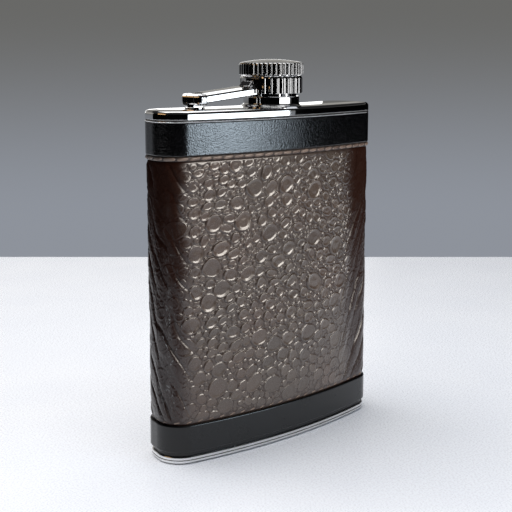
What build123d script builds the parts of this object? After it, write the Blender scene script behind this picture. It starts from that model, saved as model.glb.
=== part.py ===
"""Hip flask with a leather-wrapped steel body and a captive screw cap.

Millimetres. The flask stands on z = 0 with +Z up, its width along X and its thickness along Y.
Its front faces -Y and bulges; its back is hollowed to sit against a hip.
"""

import os
from math import asin, degrees

from build123d import *

# Body: a flat stadium, bent about a vertical axis far behind the flask
BODY_WIDTH = 92.0
BODY_THICKNESS = 19.7
BEND_RADIUS = 184.0  # of the body's middle surface
MIDDLE_Y = -1.66  # where the middle surface crosses the YZ plane
CORNER_RADIUS = 8.4
END_LEAN = 0.53  # how far the bent ends lean out at the front

# Layers, as insets from the outermost face of the body
WRAP_INSET = 0.5  # the wrap lies a little deeper than the bands
WELT_INSET = 0.1
RIM_INSET = 0.4
SHELL_INSET = 1.3
SHELL_WALL = 0.7

# Heights of the body's layers, from the base up
RIM_TOP = 2.5
BOTTOM_BAND_BASE = 3.8
BOTTOM_BAND_TOP = 12.8
WELT_BASE = 95.7
TOP_BAND_BASE = 97.2
PLATE_BASE = 107.3
PLATE_TOP = 111.1
PLATE_SHEET = 0.9

# Neck and cap, turned about one vertical axis
NECK_Y = MIDDLE_Y
BORE_RADIUS = 5.5
SPOUT_RADIUS = 6.4
SPOUT_TOP = 118.7
SPOUT_EDGE = 0.3
SPOUT_THREAD_CREST = 7.0
SPOUT_THREAD_BASE = 114.9
SPOUT_THREAD_HEIGHT = 3.0
NECK_COLLAR_RADIUS = 9.1
NECK_COLLAR_TOP = 114.1
THREAD_PITCH = 2.0
THREAD_ROOT_WIDTH = 1.2
THREAD_CREST_WIDTH = 0.5
THREAD_SINK = 0.1  # the ridge's root lies this deep in its wall

COLLAR_RADIUS = 10.1
COLLAR_BASE = 115.1
COLLAR_TOP = 120.7
COLLAR_LIP_BORE = 8.6
COLLAR_CHAMBER = 9.3

HEAD_RADIUS = 10.4
HEAD_BASE = 120.95
HEAD_SHOULDER = 123.9
HEAD_EDGE = 0.8
DOME_RISE = 1.1
CAP_TOP = HEAD_SHOULDER + HEAD_EDGE + DOME_RISE
SHANK_RADIUS = 8.53
CAP_CAVITY = 7.8
CAP_THREAD_CREST = 7.3
LINER_THICKNESS = 1.5

# Hinge of the captive lever
PIN_X = -32.3
PIN_Z = 113.85
PIN_RADIUS = 0.9
PIN_RUNNING_GAP = 0.05
KNUCKLE_SIZE = 3.7
KNUCKLE_LENGTH = 9.5
KNUCKLE_ROUND = 1.2
LUG_THICKNESS = 3.2  # the lug fills the middle of the knuckle and has its section
LUG_SIDE_GAP = 0.15
LUG_STEM_WIDTH = 3.3
SLOT_REACH = 2.3  # clears the lug's corners as the lever swings
BAR_WIDTH = 6.6
BAR_THICKNESS = 3.1
BAR_RISE = 2.0  # of the bar's middle line between the pin and the collar

DOME_RADIUS = (HEAD_RADIUS**2 + DOME_RISE**2) / (2 * DOME_RISE)
FLUTES_ON_HEAD = 44
FLUTES_ON_COLLAR = 32

# Stitches; a slant is in degrees from the row's line
STITCH_PITCH = 4.0
STITCH_WIDTH = 0.7
STITCH_PROUD = 0.15
STITCH_SUNK = 0.15
TOP_STITCH_LENGTH = 3.3
TOP_STITCH_SLANT = 7
BOTTOM_STITCH_LENGTH = 2.2
BOTTOM_STITCH_SLANT = 20
REAR_STITCH_LENGTH = 3.0
REAR_STITCH_SLANT = 25
REAR_STITCHES = 19

NECK_AXIS = Axis((0, NECK_Y, 0), (0, 0, 1))
NECK_SECTION = Plane(origin=(0, NECK_Y, 0), x_dir=(1, 0, 0), z_dir=(0, -1, 0))
PIN_SECTION = Plane(origin=(PIN_X, NECK_Y, PIN_Z), x_dir=(1, 0, 0), z_dir=(0, -1, 0))

os.makedirs("parts", exist_ok=True)


def flask_section(inset):
    """The body's bent, rounded section, drawn inset from its outermost face."""
    half = BODY_THICKNESS / 2
    center = (0, MIDDLE_Y + BEND_RADIUS)
    reach = degrees(asin((BODY_WIDTH / 2 - END_LEAN) / BEND_RADIUS))
    start = 270 - reach
    with BuildSketch(mode=Mode.PRIVATE) as section:
        with BuildLine():
            front = CenterArc(center, BEND_RADIUS + half, start, 2 * reach)
            back = CenterArc(center, BEND_RADIUS - half, start, 2 * reach)
            Line(front @ 0, back @ 0)
            Line(front @ 1, back @ 1)
        make_face()
        fillet(section.vertices(), CORNER_RADIUS)
        if inset:
            offset(amount=-inset, mode=Mode.REPLACE)
    return section.sketch


OUTER = flask_section(0)
WELT = flask_section(WELT_INSET)
RIM = flask_section(RIM_INSET)
WRAP = flask_section(WRAP_INSET)
SHELL = flask_section(SHELL_INSET)
CHAMBER = flask_section(SHELL_INSET + SHELL_WALL)


def wall(bottom, top, outside, inside):
    """The wall between two sections, from one height to another."""
    with BuildPart() as solid:
        with BuildSketch(Plane.XY.offset(bottom)):
            add(outside)
            add(inside, mode=Mode.SUBTRACT)
        extrude(amount=top - bottom)
    return solid.part


def block(bottom, top, section):
    """A whole section, from one height to another."""
    with BuildPart() as solid:
        with BuildSketch(Plane.XY.offset(bottom)):
            add(section)
        extrude(amount=top - bottom)
    return solid.part


def outer_edges(part, axis_end):
    """The outline of the part's lowest (0) or highest (-1) face."""
    return part.faces().sort_by(Axis.Z)[axis_end].outer_wire().edges()


def turned(*points):
    """A closed profile of (radius, height) points, turned about the neck's axis."""
    with BuildPart() as solid:
        with BuildSketch(NECK_SECTION):
            with BuildLine():
                Polyline(*points, close=True)
            make_face()
        revolve(axis=NECK_AXIS)
    return solid.part


def thread(root, crest, bottom, height):
    """A helical ridge from a root radius to a crest radius, on the neck's axis."""
    sink = THREAD_SINK if crest > root else -THREAD_SINK
    with BuildPart() as ridge:
        with BuildLine():
            path = Helix(THREAD_PITCH, height, root, center=(0, NECK_Y, bottom))
        with BuildSketch(Plane(origin=path @ 0, x_dir=(1, 0, 0), z_dir=path % 0)):
            with BuildLine():
                Polyline(
                    (-sink, -THREAD_ROOT_WIDTH / 2),
                    (crest - root, -THREAD_CREST_WIDTH / 2),
                    (crest - root, THREAD_CREST_WIDTH / 2),
                    (-sink, THREAD_ROOT_WIDTH / 2),
                    close=True,
                )
            make_face()
        sweep(path=path, is_frenet=True)
    return ridge.part


def save(part, name):
    """Labels a finished piece and writes it under its own name."""
    part.label = name
    export_step(part, f"parts/{name}.step")


# ---------------------------------------------------------------- the steel body

with BuildPart() as body_shell:
    add(wall(PLATE_SHEET, PLATE_TOP - PLATE_SHEET, SHELL, CHAMBER))
save(body_shell.part, "body_shell")

RIM_FOOT_ROUND = 1.1
RIM_TOP_ROUND = 0.5
with BuildPart() as base_plate:
    add(block(0, RIM_TOP, RIM))
    fillet(outer_edges(base_plate, 0), RIM_FOOT_ROUND)
    fillet(outer_edges(base_plate, -1), RIM_TOP_ROUND)
    add(block(PLATE_SHEET, RIM_TOP, SHELL), mode=Mode.SUBTRACT)
save(base_plate.part, "base_plate")

SHOULDER_ROUND = 1.4
PLATE_FOOT_ROUND = 0.2
BEAD_GROOVE_BASE = PLATE_BASE + 0.5
BEAD_GROOVE_WIDTH = 0.2
BEAD_GROOVE_DEPTH = 0.2
with BuildPart() as shoulder_plate:
    add(block(PLATE_BASE, PLATE_TOP, OUTER))
    fillet(outer_edges(shoulder_plate, -1), SHOULDER_ROUND)
    fillet(outer_edges(shoulder_plate, 0), PLATE_FOOT_ROUND)
    with BuildSketch(Plane.XY.offset(BEAD_GROOVE_BASE)):
        add(OUTER)
        offset(amount=BEAD_GROOVE_DEPTH, mode=Mode.REPLACE)
        add(flask_section(BEAD_GROOVE_DEPTH), mode=Mode.SUBTRACT)
    extrude(amount=BEAD_GROOVE_WIDTH, mode=Mode.SUBTRACT)
    add(block(PLATE_BASE, PLATE_TOP - PLATE_SHEET, SHELL), mode=Mode.SUBTRACT)
    with BuildSketch(Plane.XY.offset(PLATE_BASE)):
        with Locations((0, NECK_Y)):
            Circle(SPOUT_RADIUS)
    extrude(amount=PLATE_TOP - PLATE_BASE, mode=Mode.SUBTRACT)
save(shoulder_plate.part, "shoulder_plate")

FLANGE_RADIUS = 7.7
FLANGE_TOP = PLATE_TOP - PLATE_SHEET
FLANGE_BASE = FLANGE_TOP - 0.8
spout_profile = (
    (BORE_RADIUS, FLANGE_BASE),
    (FLANGE_RADIUS, FLANGE_BASE),
    (FLANGE_RADIUS, FLANGE_TOP),
    (SPOUT_RADIUS, FLANGE_TOP),
    (SPOUT_RADIUS, SPOUT_TOP - SPOUT_EDGE),
    (SPOUT_RADIUS - SPOUT_EDGE, SPOUT_TOP),
    (BORE_RADIUS, SPOUT_TOP),
)
with BuildPart() as neck_spout:
    add(turned(*spout_profile))
    add(thread(SPOUT_RADIUS, SPOUT_THREAD_CREST, SPOUT_THREAD_BASE, SPOUT_THREAD_HEIGHT))
save(neck_spout.part, "neck_spout")

FOOT_FILLET = 0.9
NECK_COLLAR_EDGE = 0.3
with BuildPart() as neck_collar:
    with BuildSketch(NECK_SECTION):
        with BuildLine():
            flare = RadiusArc(
                (NECK_COLLAR_RADIUS + FOOT_FILLET, PLATE_TOP),
                (NECK_COLLAR_RADIUS, PLATE_TOP + FOOT_FILLET),
                FOOT_FILLET,
            )
            Polyline(
                flare @ 1,
                (NECK_COLLAR_RADIUS, NECK_COLLAR_TOP - NECK_COLLAR_EDGE),
                (NECK_COLLAR_RADIUS - NECK_COLLAR_EDGE, NECK_COLLAR_TOP),
                (SPOUT_RADIUS, NECK_COLLAR_TOP),
                (SPOUT_RADIUS, PLATE_TOP),
                flare @ 0,
            )
        make_face()
    revolve(axis=NECK_AXIS)
save(neck_collar.part, "neck_collar")

# ---------------------------------------------------------------- bands, wrap and stitches

LEATHER_EDGE = 0.5  # rounding of a cut or folded leather edge
FOLD_TOP_EDGE = 0.4
BAND_BUTT_EDGE = 0.3  # where the top band meets the plate
with BuildPart() as bottom_band:
    add(wall(BOTTOM_BAND_BASE, BOTTOM_BAND_TOP, OUTER, SHELL))
    fillet(outer_edges(bottom_band, 0), LEATHER_EDGE)
    fillet(outer_edges(bottom_band, -1), LEATHER_EDGE)
save(bottom_band.part, "bottom_band")

with BuildPart() as top_band:
    add(wall(TOP_BAND_BASE, PLATE_BASE, OUTER, SHELL))
    fillet(outer_edges(top_band, 0), FOLD_TOP_EDGE)
    fillet(outer_edges(top_band, -1), BAND_BUTT_EDGE)
save(top_band.part, "top_band")

with BuildPart() as top_welt:
    add(wall(WELT_BASE, TOP_BAND_BASE, WELT, SHELL))
    fillet(outer_edges(top_welt, 0), LEATHER_EDGE)
    fillet(outer_edges(top_welt, -1), FOLD_TOP_EDGE)
save(top_welt.part, "top_welt")

SEAM_GAP = 0.3
with BuildPart() as leather_wrap:
    add(wall(BOTTOM_BAND_TOP, WELT_BASE, WRAP, SHELL))
    with BuildSketch(Plane.XY.offset(BOTTOM_BAND_TOP)):
        with Locations((0, MIDDLE_Y + BODY_THICKNESS / 2)):
            Rectangle(SEAM_GAP, BODY_THICKNESS / 2)
    extrude(amount=WELT_BASE - BOTTOM_BAND_TOP, mode=Mode.SUBTRACT)
save(leather_wrap.part, "leather_wrap")


def stitches_round(section, height, length, slant):
    """A row of slanted stitches all round a section of the body."""
    outline = section.face().outer_wire()
    count = round(outline.length / STITCH_PITCH)
    planes = []
    for i in range(count):
        place = (i + 0.5) / count
        along = outline % place
        outward = along.cross(Vector(0, 0, 1))
        if outward.dot(outline @ place - Vector(0, MIDDLE_Y, 0)) < 0:
            outward = -outward
        origin = outline @ place + Vector(0, 0, height) - outward * STITCH_SUNK
        planes.append(Plane(origin=origin, x_dir=along, z_dir=outward))
    with BuildPart() as row:
        with BuildSketch(*planes):
            SlotOverall(length, STITCH_WIDTH, rotation=slant)
        extrude(amount=STITCH_SUNK + STITCH_PROUD)
    return row.part


TOP_STITCH_HEIGHT = (WELT_BASE + TOP_BAND_BASE) / 2
with BuildPart() as top_stitching:
    add(stitches_round(WELT, TOP_STITCH_HEIGHT, TOP_STITCH_LENGTH, TOP_STITCH_SLANT))
save(top_stitching.part, "top_stitching")

BOTTOM_STITCH_HEIGHT = BOTTOM_BAND_TOP + 1.3
with BuildPart() as bottom_stitching:
    add(stitches_round(WRAP, BOTTOM_STITCH_HEIGHT, BOTTOM_STITCH_LENGTH, BOTTOM_STITCH_SLANT))
save(bottom_stitching.part, "bottom_stitching")

REAR_FACE_Y = MIDDLE_Y + BODY_THICKNESS / 2 - WRAP_INSET
rear_middle = (0, REAR_FACE_Y - STITCH_SUNK, (BOTTOM_STITCH_HEIGHT + WELT_BASE) / 2)
with BuildPart() as rear_seam_stitching:
    with BuildSketch(Plane(origin=rear_middle, x_dir=(-1, 0, 0), z_dir=(0, 1, 0))):
        with GridLocations(0, STITCH_PITCH, 1, REAR_STITCHES):
            SlotOverall(REAR_STITCH_LENGTH, STITCH_WIDTH, rotation=REAR_STITCH_SLANT)
    extrude(amount=STITCH_SUNK + STITCH_PROUD)
save(rear_seam_stitching.part, "rear_seam_stitching")

# ---------------------------------------------------------------- hinge and lever

POST_RADIUS = 3.1
POST_TOP = PLATE_TOP + 0.5
POST_EDGE = 0.25
with BuildPart() as hinge_post:
    with BuildSketch(Plane.XY.offset(PLATE_TOP)):
        with Locations((PIN_X, NECK_Y)):
            Circle(POST_RADIUS)
    extrude(amount=POST_TOP - PLATE_TOP)
    fillet(outer_edges(hinge_post, -1), POST_EDGE)
    with BuildSketch(PIN_SECTION):
        RectangleRounded(KNUCKLE_SIZE, KNUCKLE_SIZE, KNUCKLE_ROUND)
        with Locations((0, (PLATE_TOP - PIN_Z) / 2)):
            Rectangle(LUG_STEM_WIDTH, PIN_Z - PLATE_TOP)
    extrude(amount=LUG_THICKNESS / 2, both=True)
    with BuildSketch(PIN_SECTION):
        Circle(PIN_RADIUS + PIN_RUNNING_GAP)
    extrude(amount=LUG_THICKNESS, both=True, mode=Mode.SUBTRACT)
save(hinge_post.part, "hinge_post")

PIN_HEAD_PROUD = 0.15
with BuildPart() as hinge_pin:
    with BuildSketch(PIN_SECTION):
        Circle(PIN_RADIUS)
    extrude(amount=KNUCKLE_LENGTH / 2 + PIN_HEAD_PROUD, both=True)
    chamfer(hinge_pin.edges().filter_by(GeomType.CIRCLE), PIN_HEAD_PROUD)
save(hinge_pin.part, "hinge_pin")

BAR_START = 0.5  # from the pin's axis, inside the knuckle
BAR_MIDDLE_AT_PIN = 0.3
BAR_BEVEL = 0.95
GUSSET_LENGTH = 2.4
GUSSET_HEIGHT = 1.5
GUSSET_WIDTH = 5.0
GUSSET_HOLLOW = 0.3  # the curve's middle point, as a share of length and height
COLLAR_REACH = -PIN_X - COLLAR_RADIUS
BAR_END = COLLAR_REACH + 2.0  # inside the collar, before it is trimmed


def bar_height(reach, side):
    """Height above the pin of the bar's lower (-1) or upper (1) face, at a reach from the pin."""
    middle = BAR_MIDDLE_AT_PIN + BAR_RISE * reach / COLLAR_REACH
    return middle + side * BAR_THICKNESS / 2


with BuildPart() as lever_arm:
    with BuildSketch(PIN_SECTION):
        with BuildLine():
            Polyline(
                (BAR_START, bar_height(BAR_START, -1)),
                (BAR_END, bar_height(BAR_END, -1)),
                (BAR_END, bar_height(BAR_END, 1)),
                (BAR_START, bar_height(BAR_START, 1)),
                close=True,
            )
        make_face()
    extrude(amount=BAR_WIDTH / 2, both=True)
    bar_top = lever_arm.faces().sort_by(Axis.Z)[-1]
    chamfer(bar_top.edges().filter_by(Axis.Y, reverse=True), BAR_BEVEL)
    gusset_start = COLLAR_REACH - GUSSET_LENGTH
    gusset_middle = bar_height(COLLAR_REACH, 1) + GUSSET_HEIGHT * GUSSET_HOLLOW
    gusset_top = bar_height(COLLAR_REACH, 1) + GUSSET_HEIGHT
    with BuildSketch(PIN_SECTION):
        with BuildLine():
            curve = ThreePointArc(
                (gusset_start, bar_height(gusset_start, 1)),
                (COLLAR_REACH - GUSSET_LENGTH * GUSSET_HOLLOW, gusset_middle),
                (COLLAR_REACH, gusset_top),
            )
            Polyline(
                curve @ 1,
                (BAR_END, gusset_top),
                (BAR_END, bar_height(BAR_END, 0)),
                (gusset_start, bar_height(gusset_start, 0)),
                curve @ 0,
            )
        make_face()
    extrude(amount=GUSSET_WIDTH / 2, both=True)
    with BuildSketch(Plane.XY.offset(PLATE_TOP)):
        with Locations((0, NECK_Y)):
            Circle(COLLAR_RADIUS)
    extrude(amount=CAP_TOP - PLATE_TOP, mode=Mode.SUBTRACT)
    with BuildSketch(PIN_SECTION):
        RectangleRounded(KNUCKLE_SIZE, KNUCKLE_SIZE, KNUCKLE_ROUND)
    extrude(amount=KNUCKLE_LENGTH / 2, both=True)
    ends = lever_arm.faces().filter_by(Axis.Y).sort_by(Axis.Y)
    fillet(ends[0].edges() + ends[-1].edges(), KNUCKLE_ROUND)
    with BuildSketch(PIN_SECTION):
        Circle(PIN_RADIUS)
    extrude(amount=KNUCKLE_LENGTH, both=True, mode=Mode.SUBTRACT)
    with BuildSketch(PIN_SECTION):
        Rectangle(2 * SLOT_REACH, 2 * KNUCKLE_SIZE)
    extrude(amount=LUG_THICKNESS / 2 + LUG_SIDE_GAP, both=True, mode=Mode.SUBTRACT)
save(lever_arm.part, "lever_arm")

COLLAR_HUB_RADIUS = 8.2
COLLAR_HUB_BORE = 7.5
COLLAR_FLOOR = 0.6
COLLAR_LIP = 0.8
COLLAR_BEVEL_WIDTH = 0.5
COLLAR_BEVEL_DEPTH = 0.9
FLUTE_DEPTH = 0.3
FLUTE_CUTTER = 1.3
FLUTES_LEFT_OUT = 4  # where the bar is brazed on
flute_spacing = 360 / FLUTES_ON_COLLAR
flute_count = FLUTES_ON_COLLAR - FLUTES_LEFT_OUT
collar_profile = (
    (COLLAR_HUB_BORE, NECK_COLLAR_TOP),
    (COLLAR_HUB_RADIUS, NECK_COLLAR_TOP),
    (COLLAR_HUB_RADIUS, COLLAR_BASE),
    (COLLAR_RADIUS, COLLAR_BASE),
    (COLLAR_RADIUS, COLLAR_TOP - COLLAR_BEVEL_DEPTH),
    (COLLAR_RADIUS - COLLAR_BEVEL_WIDTH, COLLAR_TOP),
    (COLLAR_LIP_BORE, COLLAR_TOP),
    (COLLAR_LIP_BORE, COLLAR_TOP - COLLAR_LIP),
    (COLLAR_CHAMBER, COLLAR_TOP - COLLAR_LIP),
    (COLLAR_CHAMBER, COLLAR_BASE + COLLAR_FLOOR),
    (COLLAR_HUB_BORE, COLLAR_BASE + COLLAR_FLOOR),
)
with BuildPart() as swivel_collar:
    add(turned(*collar_profile))
    with BuildSketch(Plane.XY.offset(COLLAR_BASE)):
        with Locations((0, NECK_Y)):
            with PolarLocations(
                COLLAR_RADIUS + FLUTE_CUTTER - FLUTE_DEPTH,
                flute_count,
                start_angle=-180 + flute_spacing * (FLUTES_LEFT_OUT + 1) / 2,
                angular_range=flute_spacing * (flute_count - 1),
                endpoint=True,
            ):
                Circle(FLUTE_CUTTER)
    extrude(amount=COLLAR_TOP - COLLAR_BEVEL_DEPTH - COLLAR_BASE, mode=Mode.SUBTRACT)
save(swivel_collar.part, "swivel_collar")

# ---------------------------------------------------------------- cap

GROOVE_RADIUS = 8.2
GROOVE_BASE = COLLAR_BASE + COLLAR_FLOOR + 0.35
GROOVE_TOP = GROOVE_BASE + 0.8
SHANK_BASE = COLLAR_BASE + COLLAR_FLOOR + 0.2
RING_GAP = 0.05  # between the ring and its groove, on every side
RING_RADIUS = 9.2
RING_OPENING = 3.0
ring_profile = (
    (GROOVE_RADIUS + RING_GAP, GROOVE_BASE + RING_GAP),
    (RING_RADIUS, GROOVE_BASE + RING_GAP),
    (RING_RADIUS, GROOVE_TOP - RING_GAP),
    (GROOVE_RADIUS + RING_GAP, GROOVE_TOP - RING_GAP),
)
with BuildPart() as retaining_ring:
    add(turned(*ring_profile))
    with BuildSketch(Plane.XY.offset(GROOVE_BASE)):
        with Locations((0, NECK_Y + RING_RADIUS)):
            Rectangle(RING_OPENING, RING_RADIUS)
    extrude(amount=GROOVE_TOP - GROOVE_BASE, mode=Mode.SUBTRACT)
save(retaining_ring.part, "retaining_ring")

CAVITY_TOP = SPOUT_TOP + LINER_THICKNESS
HEAD_FLUTE_CUTTER = 0.5
HEAD_FLUTE_DEPTH = 0.42
CAP_THREAD_BASE = SHANK_BASE + 1.0
CAP_THREAD_HEIGHT = 1.2
with BuildPart() as cap_shell:
    with BuildSketch(NECK_SECTION) as cap_profile:
        with BuildLine():
            dome = RadiusArc(
                (0, CAP_TOP),
                (HEAD_RADIUS, HEAD_SHOULDER + HEAD_EDGE),
                DOME_RADIUS,
            )
            Polyline(
                dome @ 1,
                (HEAD_RADIUS, HEAD_BASE),
                (SHANK_RADIUS, HEAD_BASE),
                (SHANK_RADIUS, GROOVE_TOP),
                (GROOVE_RADIUS, GROOVE_TOP),
                (GROOVE_RADIUS, GROOVE_BASE),
                (SHANK_RADIUS, GROOVE_BASE),
                (SHANK_RADIUS, SHANK_BASE),
                (CAP_CAVITY, SHANK_BASE),
                (CAP_CAVITY, CAVITY_TOP),
                (0, CAVITY_TOP),
                dome @ 0,
            )
        make_face()
        fillet(cap_profile.vertices().group_by(Axis.X)[-1].sort_by(Axis.Y)[-1], HEAD_EDGE)
    revolve(axis=NECK_AXIS)
    with BuildSketch(Plane.XY.offset(HEAD_BASE)):
        with Locations((0, NECK_Y)):
            with PolarLocations(HEAD_RADIUS + HEAD_FLUTE_CUTTER - HEAD_FLUTE_DEPTH, FLUTES_ON_HEAD):
                Circle(HEAD_FLUTE_CUTTER)
    extrude(amount=CAP_TOP - HEAD_BASE, mode=Mode.SUBTRACT)
    add(thread(CAP_CAVITY, CAP_THREAD_CREST, CAP_THREAD_BASE, CAP_THREAD_HEIGHT))
save(cap_shell.part, "cap_shell")

LINER_GAP = 0.05
LINER_EDGE = 0.2
with BuildPart() as cap_liner:
    with BuildSketch(Plane.XY.offset(SPOUT_TOP)):
        with Locations((0, NECK_Y)):
            Circle(CAP_CAVITY - LINER_GAP)
    extrude(amount=LINER_THICKNESS)
    chamfer(outer_edges(cap_liner, 0), LINER_EDGE)
save(cap_liner.part, "cap_liner")
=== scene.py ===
"""Looks of the hip flask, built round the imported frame.

Lengths in this script are millimetres in the row frame, and are turned to metres where a mesh,
a light or the camera is made. The flask's front faces -Y and bulges.
"""

from math import asin, cos, pi, radians, sin, sqrt

import bpy
import numpy as np
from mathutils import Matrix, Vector


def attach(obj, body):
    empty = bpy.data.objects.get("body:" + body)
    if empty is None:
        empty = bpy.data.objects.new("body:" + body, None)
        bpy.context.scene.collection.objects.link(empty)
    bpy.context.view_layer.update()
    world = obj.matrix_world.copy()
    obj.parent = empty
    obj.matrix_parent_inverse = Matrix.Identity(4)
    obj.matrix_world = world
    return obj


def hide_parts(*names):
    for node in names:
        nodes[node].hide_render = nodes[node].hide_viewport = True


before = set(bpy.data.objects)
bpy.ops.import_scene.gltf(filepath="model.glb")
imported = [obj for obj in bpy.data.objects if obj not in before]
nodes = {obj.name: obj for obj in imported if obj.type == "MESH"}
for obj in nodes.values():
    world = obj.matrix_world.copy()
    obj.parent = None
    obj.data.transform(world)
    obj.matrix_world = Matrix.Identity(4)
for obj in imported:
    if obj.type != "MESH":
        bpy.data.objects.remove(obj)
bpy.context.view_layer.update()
MM = 0.001

# Body: a flat stadium, bent about a vertical axis far behind the flask
HALF_THICKNESS = 9.85
BEND_RADIUS = 184.0
MIDDLE_Y = -1.66
CORNER_RADIUS = 8.4
HALF_WIDTH, END_BULGE = 46.0, 0.53
REACH = asin((HALF_WIDTH - END_BULGE) / BEND_RADIUS)
WRAP_INSET = 0.5
WELT_INSET = 0.1
RIM_INSET = 0.4
SHELL_INSET = 1.3

RIM_TOP = 2.5
BOTTOM_BAND_BASE = 3.8
BOTTOM_BAND_TOP = 12.8
WELT_BASE = 95.7
TOP_BAND_BASE = 97.2
PLATE_BASE = 107.3
PLATE_TOP = 111.1

NECK_Y = MIDDLE_Y
SPOUT_RADIUS = 6.4
NECK_TOP = 114.1
COLLAR_RADIUS = 10.1
CAP_RADIUS = 10.4
CAP_TOP = 125.8
PIN_X = -32.3
PIN_Z = 113.85


# ---------------- the body's outline

FRONT_CORNER = BEND_RADIUS + HALF_THICKNESS - CORNER_RADIUS
BACK_CORNER = BEND_RADIUS - HALF_THICKNESS + CORNER_RADIUS
FRONT_TURN = REACH - asin(CORNER_RADIUS / FRONT_CORNER)
BACK_TURN = REACH - asin(CORNER_RADIUS / BACK_CORNER)
WRAP_BACK = BEND_RADIUS - HALF_THICKNESS + WRAP_INSET
WRAP_FRONT = BEND_RADIUS + HALF_THICKNESS - WRAP_INSET
WRAP_CORNER = CORNER_RADIUS - WRAP_INSET
END_LINE = sqrt(FRONT_CORNER**2 - CORNER_RADIUS**2) - sqrt(BACK_CORNER**2 - CORNER_RADIUS**2)
BACK_SWEEP = pi / 2 - (REACH - BACK_TURN)
FRONT_SWEEP = pi / 2 + (REACH - FRONT_TURN)
RUNS = np.array([
    WRAP_BACK * BACK_TURN,
    WRAP_CORNER * BACK_SWEEP,
    END_LINE,
    WRAP_CORNER * FRONT_SWEEP,
    WRAP_FRONT * FRONT_TURN,
])
STOPS = np.concatenate([[0.0], np.cumsum(RUNS)])
HALF_ROUND = STOPS[-1]
ROUND = 2 * HALF_ROUND


def outline(u):
    """Points and outward normals of the body's outermost outline, at lengths u round the wrap.

    u starts at the seam in the middle of the back and runs past the left end, the front and the
    right end.
    """
    u = np.mod(np.asarray(u, float), ROUND)
    mirrored = u > HALF_ROUND
    v = np.where(mirrored, ROUND - u, u)
    part = np.clip(np.searchsorted(STOPS, v, side="right") - 1, 0, 4)
    s = v - STOPS[part]
    centre = np.array([0.0, MIDDLE_Y + BEND_RADIUS])

    def spoke(turn):
        """The direction from the bend's axis, at an angle from straight ahead."""
        return np.stack([np.sin(turn), -np.cos(turn)], -1)

    back_turn = -s / WRAP_BACK
    back_normal = -spoke(back_turn)
    back_point = centre + (BEND_RADIUS - HALF_THICKNESS) * spoke(back_turn)
    angle_1 = pi / 2 - BACK_TURN + s / WRAP_CORNER
    normal_1 = np.stack([np.cos(angle_1), np.sin(angle_1)], -1)
    corner_1 = centre + BACK_CORNER * spoke(np.full(1, -BACK_TURN))[0]
    end_normal = np.array([-cos(REACH), sin(REACH)])
    end_start = corner_1 + CORNER_RADIUS * end_normal
    end_point = end_start + s[..., None] * spoke(np.full(1, -REACH))[0]
    angle_2 = pi - REACH + s / WRAP_CORNER
    normal_2 = np.stack([np.cos(angle_2), np.sin(angle_2)], -1)
    corner_2 = centre + FRONT_CORNER * spoke(np.full(1, -FRONT_TURN))[0]
    front_turn = -FRONT_TURN + s / WRAP_FRONT
    front_normal = spoke(front_turn)
    front_point = centre + (BEND_RADIUS + HALF_THICKNESS) * front_normal
    parts = [part[..., None] == k for k in range(4)]
    normal = np.select(
        parts,
        [back_normal, normal_1, np.broadcast_to(end_normal, normal_1.shape), normal_2],
        front_normal,
    )
    point = np.select(
        parts,
        [back_point, corner_1 + CORNER_RADIUS * normal_1, end_point, corner_2 + CORNER_RADIUS * normal_2],
        front_point,
    )
    flip = np.where(mirrored, -1.0, 1.0)
    point[..., 0] *= flip
    normal[..., 0] *= flip
    return point, normal


def round_columns(fine, coarse):
    """Lengths round the body, close together on the corners and further apart elsewhere."""
    steps = [
        np.linspace(a, b, max(2, int((b - a) / size)), endpoint=False)
        for a, b, size in zip(STOPS[:-1], STOPS[1:], (coarse, fine, fine, fine, coarse))
    ]
    half = np.concatenate(steps)
    return np.concatenate([half, [HALF_ROUND], (ROUND - half[1:])[::-1]])


COLUMNS = round_columns(0.22, 0.4)


# ---------------- mesh helpers


def mesh_of(name, points, faces, body, material, caps=()):
    """A smooth mesh from points in mm, four-cornered faces and caps, riding on a CAD body."""
    mesh = bpy.data.meshes.new(name)
    every = np.concatenate([faces.ravel(), *caps]).astype(np.int32)
    sizes = [faces.shape[1]] * len(faces) + [len(cap) for cap in caps]
    starts = np.cumsum([0] + sizes[:-1])
    mesh.vertices.add(len(points))
    mesh.vertices.foreach_set("co", (np.asarray(points) * MM).astype(np.float32).ravel())
    mesh.loops.add(len(every))
    mesh.loops.foreach_set("vertex_index", every)
    mesh.polygons.add(len(starts))
    mesh.polygons.foreach_set("loop_start", starts.astype(np.int32))
    mesh.update(calc_edges=True)
    mesh.shade_smooth()
    thing = bpy.data.objects.new(name, mesh)
    bpy.context.scene.collection.objects.link(thing)
    mesh.materials.append(material)
    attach(thing, body)
    return thing


def quads(rows, columns, close_columns=False, close_rows=False):
    """The faces of a grid of points, row after row."""
    index = np.arange(rows * columns).reshape(rows, columns)
    if close_columns:
        index = np.concatenate([index, index[:, :1]], 1)
    if close_rows:
        index = np.concatenate([index, index[:1]], 0)
    return np.stack([index[:-1, :-1], index[:-1, 1:], index[1:, 1:], index[1:, :-1]], -1).reshape(-1, 4)


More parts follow.
